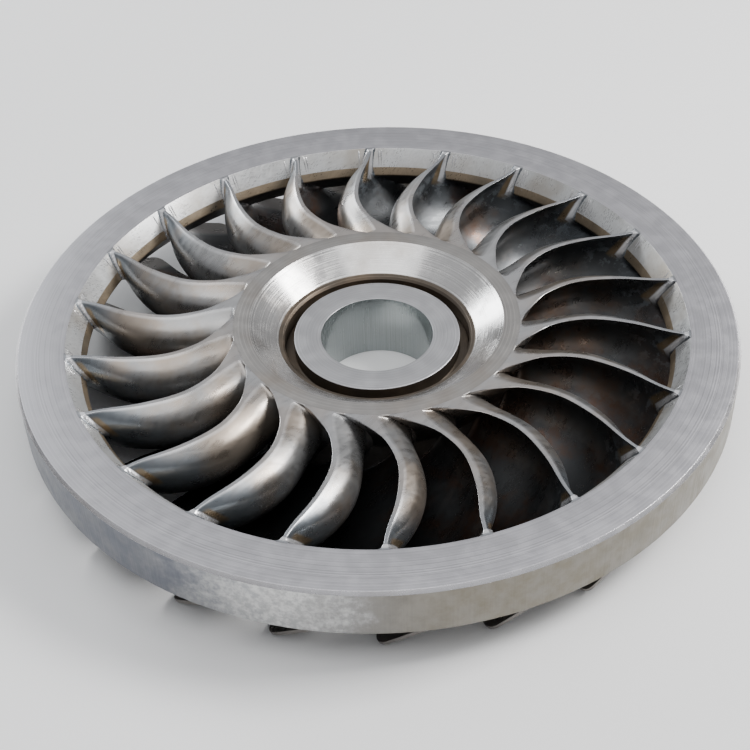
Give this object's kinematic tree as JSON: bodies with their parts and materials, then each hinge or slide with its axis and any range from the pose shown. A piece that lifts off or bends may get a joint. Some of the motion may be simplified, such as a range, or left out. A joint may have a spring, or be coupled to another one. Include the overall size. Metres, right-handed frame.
{
  "type": "turgo turbine runner",
  "caption": "Round water turbine runner: a bored hub, cup-shaped blades swept one way and an outer ring, lying with its inlet side up.",
  "frame": {"origin": "on the runner's axis, level with the foot of the shaft boss, which is its lowest face", "axes": "+Z along the shaft axis towards the inlet side; the blades' tops lean towards a turn counter-clockwise about +Z"},
  "size_m": [0.6, 0.6, 0.078],
  "materials": {
    "ring_steel": "turned and lightly ground, mottled on its rim",
    "hub_steel": "turned face with a polished dish",
    "boss_steel": "turned, with a honed bore",
    "blade_steel": "hand-polished casting"
  },
  "bodies": {
    "root": {"outer_ring": "ring_steel", "hub_disc": "hub_steel", "shaft_boss": "boss_steel", "blade_01": "blade_steel", "blade_02": "blade_steel", "blade_03": "blade_steel", "blade_04": "blade_steel", "blade_05": "blade_steel", "blade_06": "blade_steel", "blade_07": "blade_steel", "blade_08": "blade_steel", "blade_09": "blade_steel", "blade_10": "blade_steel", "blade_11": "blade_steel", "blade_12": "blade_steel", "blade_13": "blade_steel", "blade_14": "blade_steel", "blade_15": "blade_steel", "blade_16": "blade_steel", "blade_17": "blade_steel", "blade_18": "blade_steel", "blade_19": "blade_steel", "blade_20": "blade_steel", "blade_21": "blade_steel", "blade_22": "blade_steel"}
  },
  "joints": []
}
